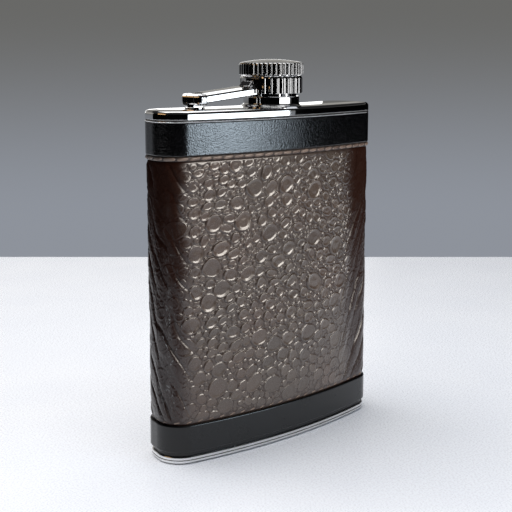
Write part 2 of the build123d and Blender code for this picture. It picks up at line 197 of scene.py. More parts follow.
def rounded(corners, steps=6, closed=False):
    """A polyline through (a, b, radius) corners, rounded, with a support point either side of each arc."""
    support = 0.05
    points = np.array([c[:2] for c in corners], float)
    count = len(points)
    made = []
    for i, (_, _, radius) in enumerate(corners):
        if radius <= 0 or (not closed and i in (0, count - 1)):
            made.append(points[i])
            continue
        before = points[i - 1] - points[i]
        after = points[(i + 1) % count] - points[i]
        long_1, long_2 = np.linalg.norm(before), np.linalg.norm(after)
        before, after = before / long_1, after / long_2
        angle = np.arccos(np.clip(before @ after, -1, 1))
        reach = radius / np.tan(angle / 2)
        middle = before + after
        centre = points[i] + middle / np.linalg.norm(middle) * radius / np.sin(angle / 2)
        start, end = points[i] + before * reach - centre, points[i] + after * reach - centre
        sweep = pi - angle
        if reach + support < long_1 * 0.9:
            made.append(points[i] + before * (reach + support))
        for k in range(steps + 1):
            t = k / steps
            made.append(centre + (start * sin((1 - t) * sweep) + end * sin(t * sweep)) / sin(sweep))
        if reach + support < long_2 * 0.9:
            made.append(points[i] + after * (reach + support))
    return np.array(made)


def layer(name, profile, material, closed=True, caps=False):
    """A ring round the body from a profile of (inset, height) points; its faces look outwards."""
    point, normal = outline(COLUMNS)
    flat = point[None] - profile[:, None, :1] * normal[None]
    tall = np.broadcast_to(profile[:, None, 1:], flat.shape[:2] + (1,))
    grid = np.concatenate([flat, tall], -1)
    rows, columns = grid.shape[:2]
    faces = quads(rows, columns, True, closed)
    ends = ()
    if caps:
        ends = (np.arange(columns)[::-1], np.arange(columns) + (rows - 1) * columns)
    return mesh_of(name, grid.reshape(-1, 3), faces, "root", material, ends)


def turned(name, profile, body, radius_at, segments=256, closed=True, caps=False):
    """A steel ring round the neck's axis from (radius, height) points; radius_at limits it by angle."""
    angle = np.arange(segments) * 2 * pi / segments
    radius = np.minimum(np.repeat(profile[:, :1], segments, 1), radius_at(angle)[None])
    grid = np.stack([
        radius * np.cos(angle),
        NECK_Y + radius * np.sin(angle),
        np.repeat(profile[:, 1:], segments, 1),
    ], -1)
    faces = quads(len(profile), segments, True, closed)
    ends = (np.arange(segments) + (len(profile) - 1) * segments,) if caps else ()
    return mesh_of(name, grid.reshape(-1, 3), faces, body, STEEL, ends)


# ---------------- noise for the leather's relief


def noise(x, y, seed):
    """Smooth noise from -1 to 1 over a plane, about one bump to the unit."""
    left, low = np.floor(x).astype(np.int64), np.floor(y).astype(np.int64)
    fx, fy = x - left, y - low
    fx, fy = fx * fx * fx * (fx * (fx * 6 - 15) + 10), fy * fy * fy * (fy * (fy * 6 - 15) + 10)

    def corner(i, j):
        """A fixed random number from -1 to 1 for a whole-numbered place."""
        h = (i * 374761393 + j * 668265263 + seed * 362437) & 0x7FFFFFFF
        h = ((h ^ (h >> 13)) * 1274126177) & 0x7FFFFFFF
        return ((h ^ (h >> 16)) & 0xFFFF) / 32767.5 - 1

    low_row = corner(left, low) * (1 - fx) + corner(left + 1, low) * fx
    high_row = corner(left, low + 1) * (1 - fx) + corner(left + 1, low + 1) * fx
    return low_row * (1 - fy) + high_row * fy


def layered_noise(x, y, seed, layers=3):
    """Noise with finer, weaker noise added to it."""
    return sum(noise(x * 2**k, y * 2**k, seed + k) * 0.5**k for k in range(layers)) / 1.6


def ramp(x, low, high):
    """0 below low, 1 above high, smooth between."""
    t = np.clip((x - low) / (high - low), 0, 1)
    return t * t * (3 - 2 * t)


# ---------------- materials


def start_material(name):
    """A new material, its node tree and its shader."""
    material = bpy.data.materials.new(name)
    material.use_nodes = True
    tree = material.node_tree
    return material, tree, tree.nodes["Principled BSDF"]


def add_node(tree, kind, settings=None, **inputs):
    """A node with its settings and inputs set; an input that is a socket is linked."""
    made = tree.nodes.new("ShaderNode" + kind)
    for key, value in (settings or {}).items():
        setattr(made, key, value)
    for key, value in inputs.items():
        numbered = key[0] == "i" and key[1:].isdigit()
        socket = made.inputs[int(key[1:]) if numbered else key.replace("_", " ")]
        if isinstance(value, bpy.types.NodeSocket):
            tree.links.new(value, socket)
        else:
            socket.default_value = value
    return made


def scaled_noise(tree, scale, detail=2.0, stretch=(1, 1, 1), roughness=0.5):
    """Noise over the object's own coordinates, with scale in bumps to the metre."""
    place = add_node(tree, "TexCoord").outputs["Object"]
    mapped = add_node(tree, "Mapping", Vector=place, Scale=stretch).outputs["Vector"]
    made = add_node(tree, "TexNoise", Vector=mapped, Scale=scale, Detail=detail, Roughness=roughness)
    return made.outputs["Fac"]


def combine(tree, operation, first, second):
    """The sum or product of two values."""
    return add_node(tree, "Math", {"operation": operation}, i0=first, i1=second).outputs[0]


def spread(tree, value, low, high, out_low, out_high):
    """A value from low..high mapped to out_low..out_high and held there."""
    made = add_node(tree, "MapRange", {"interpolation_type": "SMOOTHSTEP"})
    tree.links.new(value, made.inputs["Value"])
    for key, number in zip(("From Min", "From Max", "To Min", "To Max"), (low, high, out_low, out_high)):
        made.inputs[key].default_value = number
    return made.outputs["Result"]


def blend_colours(tree, share, first, second):
    """The first colour at a share of 0, the second at 1."""
    made = add_node(tree, "Mix", {"data_type": "RGBA"})
    for index, value in ((0, share), (6, first), (7, second)):
        if isinstance(value, bpy.types.NodeSocket):
            tree.links.new(value, made.inputs[index])
        else:
            made.inputs[index].default_value = value
    return made.outputs[2]


def bump(tree, height, strength, distance_mm, below=None):
    """A normal disturbed by a height, on top of the bump below when there is one."""
    made = add_node(tree, "Bump", Height=height, Strength=strength, Distance=distance_mm * MM)
    if below is not None:
        tree.links.new(below, made.inputs["Normal"])
    return made.outputs["Normal"]


def connect(tree, shader, colour, roughness, normal):
    """Links a material's colour, roughness and normal to its shader."""
    for key, socket in (("Base Color", colour), ("Roughness", roughness), ("Normal", normal)):
        tree.links.new(socket, shader.inputs[key])


def polished_steel():
    """Mirror-polished steel with faint wipe marks and hairlines."""
    material, tree, shader = start_material("polished_steel")
    shader.inputs["Metallic"].default_value = 1.0
    smears = scaled_noise(tree, 90, 3, (1, 1, 0.4))
    hairs = scaled_noise(tree, 900, 2, (0.05, 0.05, 1.0))
    wiped = spread(tree, smears, 0.35, 0.75, 0.02, 0.075)
    scratched = spread(tree, hairs, 0.6, 0.85, 0.0, 0.05)
    rough = combine(tree, "ADD", wiped, scratched)
    bright, worn_and_shaded = (0.80, 0.80, 0.81, 1), (0.72, 0.715, 0.70, 1)
    tint = blend_colours(tree, spread(tree, smears, 0.3, 0.7, 0, 1), bright, worn_and_shaded)
    connect(tree, shader, tint, rough, bump(tree, hairs, 0.03, 0.005))
    return material


def joint_grime():
    """Painted shade: a near-black ring in the fine grooves of the shoulder plate and the base, standing in
    for the shade in them.
    """
    material, tree, shader = start_material("joint_grime")
    clouds = scaled_noise(tree, 900, 3)
    black, brown = (0.006, 0.005, 0.004, 1), (0.035, 0.028, 0.022, 1)
    tint = blend_colours(tree, clouds, black, brown)
    rough = spread(tree, clouds, 0.3, 0.7, 0.45, 0.7)
    connect(tree, shader, tint, rough, bump(tree, clouds, 0.3, 0.03))
    return material


def plain_steel():
    """Drawn stainless steel with fine lines along the height."""
    material, tree, shader = start_material("plain_steel")
    shader.inputs["Metallic"].default_value = 1.0
    lines = scaled_noise(tree, 1600, 3, (1, 1, 0.04))
    clouds = scaled_noise(tree, 60, 3)
    rough = spread(tree, lines, 0.3, 0.7, 0.16, 0.34)
    tint = blend_colours(tree, clouds, (0.50, 0.50, 0.51, 1), (0.66, 0.65, 0.63, 1))
    connect(tree, shader, tint, rough, bump(tree, lines, 0.15, 0.02))
    return material


def black_leather(name, grain_scale, grain_depth, rough, shine):
    """Black leather with fine grain, satin."""
    material, tree, shader = start_material(name)
    grain = scaled_noise(tree, grain_scale, 2)
    pores = scaled_noise(tree, grain_scale * 2.1, 2)
    clouds = scaled_noise(tree, 140, 3)
    satin = spread(tree, clouds, 0.3, 0.7, rough - 0.01, rough + 0.015)
    darkest, dark = (0.0022, 0.0020, 0.0020, 1), (0.0045, 0.0042, 0.0044, 1)
    tint = blend_colours(tree, spread(tree, grain, 0.3, 0.7, 0, 1), darkest, dark)
    first = bump(tree, grain, 0.5, grain_depth)
    connect(tree, shader, tint, satin, bump(tree, pores, 0.35, grain_depth * 0.6, first))
    shader.inputs["Specular IOR Level"].default_value = shine
    return material


def brown_leather():
    """Dark brown embossed leather with fine grain; the grooves, moats, creases, margins and the wrap's ends
    are darkened as painted shade.
    """
    material, tree, shader = start_material("brown_leather")
    relief = add_node(tree, "Attribute", {"attribute_name": "relief"}).outputs["Fac"]
    tone = add_node(tree, "Attribute", {"attribute_name": "tone"}).outputs["Fac"]
    end_shade = add_node(tree, "Attribute", {"attribute_name": "ends"}).outputs["Fac"]
    clouds = scaled_noise(tree, 45, 3)
    grain = scaled_noise(tree, 2600, 3, roughness=0.6)
    place = add_node(tree, "TexCoord").outputs["Object"]
    cells = add_node(tree, "TexVoronoi", {"feature": "SMOOTH_F1"}, Vector=place, Scale=1700.0)
    pores = cells.outputs["Distance"]
    taupe, pale_taupe = (0.048, 0.038, 0.032, 1), (0.068, 0.054, 0.045, 1)
    warm_brown, groove = (0.070, 0.042, 0.031, 1), (0.020, 0.011, 0.008, 1)
    red_black, speck = (0.011, 0.0032, 0.0022, 1), (0.030, 0.015, 0.010, 1)
    tops = blend_colours(tree, tone, taupe, pale_taupe)
    tops = blend_colours(tree, spread(tree, clouds, 0.4, 0.7, 0, 0.5), tops, warm_brown)
    # Painted shade: where the relief share is low, in the grooves, the moats round the scales, the creases
    # and the margins by the bands, the colour darkens to groove, and the specular is lower there too.
    worn_and_shaded = blend_colours(tree, spread(tree, relief, 0.0, 0.85, 0.0, 1), groove, tops)
    # Painted shade: the wrap's left and right ends turn red-black.
    ends_shaded = blend_colours(tree, spread(tree, end_shade, 0, 1, 0, 0.92), worn_and_shaded, red_black)
    speckled = blend_colours(tree, spread(tree, grain, 0.35, 0.7, 0, 0.30), ends_shaded, speck)
    polished_tops = spread(tree, relief, 0.0, 0.8, 0.38, 0.25)
    uneven = spread(tree, grain, 0.3, 0.7, -0.02, 0.04)
    rough = combine(tree, "ADD", polished_tops, uneven)
    first = bump(tree, grain, 0.30, 0.03)
    connect(tree, shader, speckled, rough, bump(tree, pores, 0.25, 0.03, first))
    height = add_node(tree, "SeparateXYZ", i0=place).outputs[2]
    # The ends also lose their specular and coat, most towards the top, which darkens them further as painted
    # shade.
    on_ends = spread(tree, end_shade, 0.35, 1.0, 0.0, 1.0)
    near_top = spread(tree, height, 0.030, 0.090, 0.40, 0.95)
    dull = combine(tree, "MULTIPLY", on_ends, near_top)
    on_tops = spread(tree, relief, 0.0, 0.5, 0.35, 0.60)
    not_dull = spread(tree, dull, 0.0, 1.0, 1.0, 0.0)
    tree.links.new(combine(tree, "MULTIPLY", on_tops, not_dull), shader.inputs["Specular IOR Level"])
    tree.links.new(spread(tree, dull, 0.0, 0.8, 0.5, 0.0), shader.inputs["Coat Weight"])
    shader.inputs["Coat Roughness"].default_value = 0.18
    return material


def welt_leather():
    """Dark brown leather of the folded strip, matt."""
    material, tree, shader = start_material("welt_leather")
    grain = scaled_noise(tree, 2200, 3)
    clouds = scaled_noise(tree, 200, 3)
    dark, light = (0.009, 0.0045, 0.0035, 1), (0.022, 0.011, 0.008, 1)
    tint = blend_colours(tree, clouds, dark, light)
    rough = spread(tree, grain, 0.3, 0.7, 0.42, 0.58)
    connect(tree, shader, tint, rough, bump(tree, grain, 0.4, 0.06))
    return material


def stitch_thread():
    """Waxed thread with pale fibres and darker stains."""
    material, tree, shader = start_material("stitch_thread")
    fibres = scaled_noise(tree, 5200, 2)
    stains = scaled_noise(tree, 260, 3)
    clean, stained, fibre = (0.14, 0.103, 0.084, 1), (0.060, 0.038, 0.030, 1), (0.21, 0.17, 0.145, 1)
    tint = blend_colours(tree, spread(tree, stains, 0.35, 0.65, 0, 1), clean, stained)
    tint = blend_colours(tree, spread(tree, fibres, 0.45, 0.75, 0, 0.45), tint, fibre)
    rough = spread(tree, fibres, 0.3, 0.7, 0.30, 0.5)
    connect(tree, shader, tint, rough, bump(tree, fibres, 0.5, 0.05))
    return material


def pale_rubber():
    """Pale silicone of the sealing disc."""
    material, tree, shader = start_material("liner_rubber")
    clouds = scaled_noise(tree, 500, 3)
    tint = blend_colours(tree, clouds, (0.55, 0.54, 0.50, 1), (0.68, 0.67, 0.63, 1))
    rough = spread(tree, clouds, 0.3, 0.7, 0.45, 0.6)
    connect(tree, shader, tint, rough, bump(tree, clouds, 0.2, 0.03))
    return material


STEEL = polished_steel()
PLAIN = plain_steel()
# Near-black painted shade for the fine grooves of the shoulder plate and the base.
GROOVE_SHADE = joint_grime()
GRAINED = black_leather("black_leather_grained", grain_scale=1900.0, grain_depth=0.17, rough=0.13, shine=0.50)
SMOOTH = black_leather("black_leather_smooth", grain_scale=3000.0, grain_depth=0.02, rough=0.28, shine=0.45)
BROWN = brown_leather()
WELT = welt_leather()
THREAD = stitch_thread()
RUBBER = pale_rubber()

for node, material in {
    "body_shell": PLAIN, "neck_spout": PLAIN, "hinge_post": STEEL, "hinge_pin": PLAIN,
    "retaining_ring": PLAIN, "cap_liner": RUBBER,
}.items():
    for slot in nodes[node].material_slots:
        slot.material = material

# ---------------- plates and bands

LINE_LOW, LINE_HIGH = 1.15, 1.40
LINE_INSET = RIM_INSET + 0.16
base = layer(
    "base_plate_polished",
    rounded([
        (4.0, 0.0, 0), (RIM_INSET, 0.0, 0.9), (RIM_INSET, LINE_LOW, 0.05),
        (LINE_INSET, LINE_LOW + 0.03, 0), (LINE_INSET, LINE_HIGH - 0.03, 0),
        (RIM_INSET, LINE_HIGH, 0.05), (RIM_INSET, RIM_TOP, 0.5), (2.0, RIM_TOP, 0),
    ], 8),
    STEEL, closed=False, caps=True,
)
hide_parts("base_plate")


def outer_band(deep, low, face, high, low_edge, high_edge=None):
    """The section of a band: face and back insets, foot and top heights, and its two outer edges' radii."""
    high_edge = low_edge if high_edge is None else high_edge
    return [(deep, low, 0), (face, low, low_edge), (face, high, high_edge), (deep, high, 0)]


def groove_line(name, face, low, high):
    """A near-black ring of painted shade at the bottom of a fine groove in a polished side."""
    section = outer_band(face[1], low, face[0], high, 0.02)
    layer(name, rounded(section, 3), GROOVE_SHADE)


groove_line("base_groove_line", (RIM_INSET + 0.05, LINE_INSET + 0.1), LINE_LOW - 0.05, LINE_HIGH + 0.05)

BEAD_TOP = PLATE_BASE + 0.45
GROOVE_TOP = BEAD_TOP + 0.40
EDGE_ROUND = 1.25
EDGE_END = radians(84)
CROWN_ROUND = 45.0


def plate_profile():
    """The shoulder plate's side: half-round bead, groove, edge rounding and a shallow crown."""
    lower = rounded([
        (2.0, PLATE_BASE, 0), (0.0, PLATE_BASE, 0.22), (0.0, BEAD_TOP, 0.22), (0.35, BEAD_TOP + 0.02, 0),
        (0.35, GROOVE_TOP - 0.02, 0), (0.0, GROOVE_TOP, 0.1), (0.0, PLATE_TOP - 2.0, 0),
    ], 6)
    turns = np.linspace(0, EDGE_END, 16)
    crown = np.linspace(EDGE_END, pi / 2, 8)[1:]
    drop = (CROWN_ROUND - EDGE_ROUND) * (1 - sin(EDGE_END))
    centre_z = PLATE_TOP - drop - EDGE_ROUND
    edge = np.stack([EDGE_ROUND * (1 - np.cos(turns)), centre_z + EDGE_ROUND * np.sin(turns)], -1)
    crown_x = EDGE_ROUND + (CROWN_ROUND - EDGE_ROUND) * cos(EDGE_END) - CROWN_ROUND * np.cos(crown)
    top = np.stack([crown_x, PLATE_TOP - CROWN_ROUND * (1 - np.sin(crown))], -1)
    return np.concatenate([lower, edge, top])


shoulder = layer(
    "shoulder_plate_polished", plate_profile(), STEEL, closed=False, caps=True
)
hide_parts("shoulder_plate")
groove_line("plate_groove_line", (0.10, 0.45), BEAD_TOP - 0.06, GROOVE_TOP + 0.02)


def leather_ring(name, section, material, steps=6):
    """A band round the body from the corners of its section."""
    return layer(name, rounded(section, steps), material)


FOLD_INSET = 1.0
bottom_band = leather_ring(
    "bottom_band_leather",
    outer_band(SHELL_INSET, BOTTOM_BAND_BASE, 0.0, BOTTOM_BAND_TOP, 0.5),
    SMOOTH,
)
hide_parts("bottom_band")
leather_ring(
    "bottom_band_fold",
    outer_band(SHELL_INSET, RIM_TOP, FOLD_INSET, BOTTOM_BAND_BASE, 0.08),
    SMOOTH, steps=4,
)
top_band = leather_ring(
    "top_band_leather",
    outer_band(SHELL_INSET, TOP_BAND_BASE, 0.0, PLATE_BASE, 0.4, 0.3),
    GRAINED,
)
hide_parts("top_band")
welt = leather_ring(
    "top_welt_leather",
    outer_band(SHELL_INSET, WELT_BASE, WELT_INSET, TOP_BAND_BASE, 0.5, 0.4),
    WELT,
)
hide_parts("top_welt")


# ---------------- embossed wrap

CELL = 0.2
WRAP_LOW = BOTTOM_BAND_TOP
WRAP_HIGH = WELT_BASE
WRAP_TALL = WRAP_HIGH - WRAP_LOW
FRONT_LEFT = STOPS[4]
FRONT_RIGHT = ROUND - STOPS[4]
PIECES_ROUND = 6
SCALE_WIDENING = 1.16
LEAN_LENGTH, LEAN_WIDTH = 1.10, 1.04
SCALE_SIZES = (  # tries, largest and smallest radius, room left between scales
    (120, 3.0, 2.5, 0.02),
    (9000, 2.25, 1.45, -0.02),
    (16000, 1.35, 0.75, -0.04),
    (12000, 0.70, 0.42, -0.04),
)
SCATTER_MARGIN = 4.0
OUTLINE_SIZE = 1.07
MOAT_OUT, MOAT_WIDE, MOAT_DEEP = 0.06, 0.13, 0.10
GROUND_RELIEF = 0.6
FOLD_SPACING, FOLD_WIDE = 4.4, 0.42
PILLOW_TALL, FOLD_DEEP = 0.38, 0.26
RELIEF_SINK = 0.12


def scale_metric(du, dv):
    """Squared distance in which a scale is wider than tall and leans a little up to the right."""
    du = du / SCALE_WIDENING
    along, across = (du + dv) / sqrt(2), (dv - du) / sqrt(2)
    return (along / LEAN_LENGTH) ** 2 + (across * LEAN_WIDTH) ** 2


def scatter_scales(rng, low, high):
    """Centres and radii of scales of four sizes, packed into a box without overlapping."""
    places = np.empty((0, 2))
    radii = np.empty(0)
    for tries, largest, smallest, room in SCALE_SIZES:
        spots = rng.uniform(low, high, (tries, 2))
        wanted = rng.uniform(smallest, largest, tries)
        for spot, want in zip(spots, wanted):
            if len(radii):
                step = places - spot
                gap = (np.sqrt(scale_metric(step[:, 0], step[:, 1])) - radii).min() - room
            else:
                gap = largest
            if gap >= smallest:
                places = np.vstack([places, spot])
                radii = np.append(radii, min(gap, want))
    return places, radii


def scale_profile(share, radius):
    """A scale's rise as a share of its height, and the depth in mm of the dish in its middle.

    The outer edge is steep, the rim slopes inwards, and a large scale has a shallow boss.
    """
    edge_wide, rim_wide, steepness = 0.18, 0.14, 1.6
    reach = np.maximum((1 - share) * radius, 0)
    rise = 1 - np.exp(-((reach / edge_wide) ** steepness))
    slope_wide = min(0.16 + 0.34 * radius, 0.95)
    run = np.clip(reach - rim_wide, 0, slope_wide)
    slope = 0.30 + 0.22 * float(ramp(radius, 0.4, 1.5))
    dish = slope * (run - 0.25 * run**2 / slope_wide)
    boss = 0.07 * ramp(radius, 1.2, 2.2) * (1 - ramp(share, 0.0, 0.5))
    return rise, dish - boss


def warped(lengths, u, v, seed):
    """Lengths shifted by a slow drift and a finer wobble, which bends the scales' outlines."""
    return lengths + 0.8 * noise(u / 9, v / 9, seed) + 0.18 * noise(u / 2.6, v / 2.6, seed + 2)


def scale_relief(u, v):
    """Height in mm, and shares of relief and tone, of the embossed scales over a grid of places."""
    rng = np.random.default_rng(11)
    low, high = (-SCATTER_MARGIN,) * 2, (ROUND + SCATTER_MARGIN, WRAP_TALL + SCATTER_MARGIN)
    places, radii = scatter_scales(rng, low, high)
    warped_u, warped_v = warped(u, u, v, 3), warped(v, u, v, 13)
    height = np.zeros(u.shape)
    relief = np.zeros(u.shape)
    tone = np.full(u.shape, 0.5)
    moat = np.zeros(u.shape)
    own = rng.uniform(0, 1, len(radii))
    lean = rng.normal(0, 0.05, (len(radii), 2))
    phases = rng.uniform(0, 2 * pi, (len(radii), 2))
    for spot, radius, shade, slope, phase in zip(places, radii, own, lean, phases):
        far = radius * 1.3 + 1.4
        c0, c1 = int((spot[0] - far) / CELL), int((spot[0] + far) / CELL) + 2
        r0, r1 = int((spot[1] - far) / CELL), int((spot[1] + far) / CELL) + 2
        window = (slice(max(r0, 0), max(r1, 0)), slice(max(c0, 0), max(c1, 0)))
        du = warped_u[window] - spot[0]
        if du.size == 0:
            continue
        dv = warped_v[window] - spot[1]
        angle = np.arctan2(dv, du)
        lobes = 1 + 0.06 * np.cos(2 * angle + phase[0]) + 0.025 * np.cos(3 * angle + phase[1])
        share = np.sqrt(scale_metric(du, dv)) / (OUTLINE_SIZE * radius * lobes)
        tall = (0.20 + 0.18 * float(ramp(radius, 0.5, 1.8))) * (0.85 + 0.3 * shade)
        inside = share < 1
        rise, dish = scale_profile(share, radius)
        tilted = tall + (du * slope[0] + dv * slope[1]) * 0.5
        raised = np.where(inside, rise * tilted - dish, 0)
        height[window] = np.maximum(height[window], raised)
        covered = np.where(inside, np.clip(rise * 1.2, 0, 1), 0)
        relief[window] = np.maximum(relief[window], covered)
        rim_away = (1 - share) * radius + MOAT_OUT
        moat[window] = np.maximum(moat[window], np.exp(-((rim_away / MOAT_WIDE) ** 2)))
        tone[window] = np.where(inside, shade, tone[window])
    height -= MOAT_DEEP * moat * (1 - relief)
    # A relief share of 0 in the moats round the scales gives them a dark outline of painted shade in the
    # shader.
    return height, np.maximum(relief, GROUND_RELIEF * (1 - moat)), tone


def creases(u, v, way, seed):
    """Long folds, up to the right (way 1) or down (way -1): shares of crease depth and pillow height."""
    slant = 1.12
    along, across = (0.5 * u + way * v) / slant, (v * 0.5 - way * u) / slant
    bend = 0.9 * noise(along / 24, across / 11, seed)
    phase = across / FOLD_SPACING + bend + 0.28 * noise(along / 8, across / 4, seed + 9)
    away = np.abs(phase - np.round(phase)) * FOLD_SPACING
    broken = ramp(noise(along / 10, across / FOLD_SPACING, seed + 17), -0.45, 0.15)
    fine = np.abs(layered_noise(along / 9, across / 2.2, seed + 23))
    depth = np.exp(-((away / FOLD_WIDE) ** 2)) * broken + 0.35 * np.exp(-((fine / 0.05) ** 2))
    return np.clip(depth, 0, 1), np.sqrt(np.abs(np.sin(pi * phase))) * (0.4 + 0.6 * broken)


def wrap_surface():
    """The wrap's relief over its grid: lengths round, heights, height of the surface and shader shares."""
    columns = int(round(ROUND / CELL))
    rows = int(round(WRAP_TALL / CELL))
    u, v = np.meshgrid(np.linspace(0, ROUND, columns + 1), np.linspace(0, WRAP_TALL, rows + 1))
    height, relief, tone = scale_relief(u, v)
    left_end = FRONT_LEFT + 4.5 + 3.0 * noise(u / 9, v / 7, 31)
    left = 1 - ramp(u, FRONT_LEFT - 6.5, left_end)
    right_start = FRONT_RIGHT - 18.0 + 4.0 * noise(u / 9, v / 7, 37)
    right = ramp(u, right_start, FRONT_RIGHT - 3.0)
    back_left, back_right = STOPS[1], ROUND - STOPS[1]
    off_back = ramp(u, back_left - 4, back_left + 2) * (1 - ramp(u, back_right - 2, back_right + 4))
    # ends: the share of the wrap's left and right ends, with their folds; the shader darkens them there as
    # painted shade.
    ends = np.clip(left + right, 0, 1) * off_back
    on_left = u < HALF_ROUND
    left_folds, left_pillow = creases(u, v, -1, 41)
    right_folds, right_pillow = creases(u, v, 1, 53)
    folds = np.where(on_left, left_folds, right_folds)
    pillow = np.where(on_left, left_pillow, right_pillow)
    down = WRAP_TALL - v
    lower_right = ramp(u + 0.75 * down, FRONT_RIGHT - 2, FRONT_RIGHT + 42) * (u > HALF_ROUND - 30)
    by_height = 1 + 0.20 * ramp(down, 12.0, 35.0) - 0.55 * ramp(down, 45.0, 80.0)
    strong = (1 - 0.72 * ends) * (1 - 0.55 * lower_right) * by_height
    height = height * strong + (PILLOW_TALL * pillow - FOLD_DEEP * folds) * ends
    height += 0.05 * layered_noise(u / 18, v / 18, 61) + 0.022 * layered_noise(u / 1.1, v / 1.1, 71, 2)
    margin = ramp(v, 0.6, 3.0) * (1 - ramp(v, WRAP_TALL - 1.8, WRAP_TALL - 0.3))
    height = height * margin + 0.06 * (1 - margin)
    for away, deep, wide in (
        (v - 0.8, 0.10, 0.5),  # pulled in under the bottom stitches
        (np.minimum(u, ROUND - u), 0.75, 0.28),  # the seam
        (np.minimum(v, down), 0.30, 0.30),  # turned in under the bands
    ):
        height -= deep * np.exp(-((away / wide) ** 2))
    # A low relief share darkens the shader's colour, so lowering it on the ends, in the folds and at the
    # margins paints shade there.
    relief = relief * (1 - 0.6 * ends) + 0.25 * ends
    relief = np.clip(relief * (0.25 + 0.75 * margin) - 0.5 * folds * ends, 0, 1)
    return u, v, height - RELIEF_SINK, relief, tone, ends


def build_wrap():
    """The wrap as strips side by side, with one surface's normals so that their joins don't show."""
    u, v, height, relief, tone, ends = wrap_surface()
    point, normal = outline(np.minimum(u[0], ROUND - 1e-6))
    flat = point[None] + (height - WRAP_INSET)[..., None] * normal[None]
    surface = np.concatenate([flat, (v + WRAP_LOW)[..., None]], -1)
    across = np.gradient(surface, axis=1)
    upward = np.gradient(surface, axis=0)
    facing = np.cross(across, upward)
    facing /= np.linalg.norm(facing, axis=-1, keepdims=True)
    outward = np.concatenate([normal, np.zeros((len(normal), 1))], -1)
    if (facing * outward[None]).sum(-1).mean() < 0:
        facing = -facing
    cuts = np.linspace(0, u.shape[1] - 1, PIECES_ROUND + 1).astype(int)
    for number, (start, stop) in enumerate(zip(cuts[:-1], cuts[1:])):
        part = (slice(None), slice(start, stop + 1))
        points = surface[part].reshape(-1, 3)
        faces = quads(u.shape[0], stop - start + 1)
        strip = mesh_of(f"leather_wrap_{number}", points, faces, "root", BROWN)
        for name, values in (("relief", relief), ("tone", tone), ("ends", ends)):
            attribute = strip.data.attributes.new(name, "FLOAT", "POINT")
            attribute.data.foreach_set("value", values[part].astype(np.float32).ravel())
        strip.data.normals_split_custom_set_from_vertices(facing[part].reshape(-1, 3).tolist())
    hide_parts("leather_wrap")


build_wrap()


# ---------------- stitches


def stitch_row(name, node, spots, length, width, proud, slant):
    """Short twisted stitches, bowed into the leather at both ends, at (u, height, inset) places."""
    along = np.linspace(-1, 1, 17)
    turn = np.arange(12) * 2 * pi / 12
    points, faces = [], []
    one = quads(len(along), len(turn), True)
    for k, (u0, z0, inset) in enumerate(spots):
        wobble = 0.06 * sin(k * 2.399)
        run = along * (length / 2) * (1 + 0.5 * wobble)
        taper = np.sqrt(np.clip(1 - np.abs(along) ** 3.2, 0, 1)) * (1 + wobble) + 0.03
        ply = 1 + 0.07 * np.cos(2 * (turn[None] + along[:, None] * 3.2 + k))
        side = 0.5 * width * taper[:, None] * np.cos(turn)[None] * ply
        bow = 0.35 * proud * (along**4)[:, None]
        out = proud * taper[:, None] * np.sin(turn)[None] * ply - bow
        lean = radians(slant + 3 * sin(k * 1.7))
        du = run[:, None] * cos(lean) - side * sin(lean)
        dz = run[:, None] * sin(lean) + side * cos(lean)
        point, normal = outline(u0 + du)
        flat = point + (out - inset)[..., None] * normal
        stitch = np.concatenate([flat, (z0 + dz)[..., None]], -1)
        points.append(stitch.reshape(-1, 3))
        faces.append(one + k * stitch.shape[0] * stitch.shape[1])
    row = mesh_of(name, np.concatenate(points), np.concatenate(faces), "root", THREAD)
    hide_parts(node)


def round_spots(count, height, inset):
    """Places of stitches evenly spaced round the body."""
    return [((k + 0.5) * (ROUND / count), height, inset) for k in range(count)]


TOP_COUNT, BOTTOM_COUNT, REAR_COUNT = 52, 51, 19
REAR_FIRST, REAR_PITCH = 18.9, 4.0
top_spots = round_spots(TOP_COUNT, (WELT_BASE + TOP_BAND_BASE) / 2, WELT_INSET + 0.02)
bottom_spots = round_spots(BOTTOM_COUNT, BOTTOM_BAND_TOP + 0.8, WRAP_INSET + 0.16)
rear_spots = [(0.0, REAR_FIRST + REAR_PITCH * k, WRAP_INSET + 0.05) for k in range(REAR_COUNT)]
stitch_row("top_stitches", "top_stitching", top_spots, length=3.75, width=1.0, proud=0.26, slant=5)
stitch_row(
    "bottom_stitches", "bottom_stitching", bottom_spots, length=2.1, width=0.45, proud=0.13, slant=14
)
stitch_row(
    "rear_stitches", "rear_seam_stitching", rear_spots, length=3.1, width=0.75, proud=0.26, slant=28
)

# ---------------- neck collar, swivel collar and cap


def scallops(count, radius, cutter, depth, soften, left_out=0):
    """The outline, by angle, of a rim of this radius with round scallops cut in it.

    left_out scallops in a row are missing at the side where the lever's bar joins.
    """
    far = radius + cutter - depth
    fine = 8192
    angle = np.arange(fine) * 2 * pi / fine
    spacing = 2 * pi / count
    shift = pi + spacing * (left_out + 1) / 2 if left_out else 0.0
    phase = np.mod(angle - shift + spacing / 2, spacing) - spacing / 2
    reach = np.abs(far * np.sin(phase))
    cut = far * np.cos(phase) - np.sqrt(np.maximum(cutter**2 - reach**2, 0))
    edge = np.where(reach < cutter, np.minimum(cut, radius), radius)
    if left_out:
        from_bar = np.abs(angle - pi)
        edge = np.where(from_bar < spacing * left_out / 2, radius, edge)
    width = max(1, int(soften / radius / (2 * pi) * fine))
    for _ in range(3):
        edge = sum(np.roll(edge, k) for k in range(-width, width + 1)) / (2 * width + 1)

    def radius_at(theta):
        """The rim's radius at any angle."""
        return np.interp(np.mod(theta, 2 * pi), np.append(angle, 2 * pi), np.append(edge, edge[0]))

    return radius_at


NECK_RADIUS = 9.1
NECK_FLARE = 0.9
FLARE_RADIUS = NECK_RADIUS + NECK_FLARE
NECK_FOOT = PLATE_TOP - 1.2
FOOT_REACH = 9.6


def foot_limit(angle):
    """The collar's foot stays on the plate, which is little wider than the collar."""
    return FOOT_REACH / np.maximum(np.abs(np.sin(angle)), 0.5)


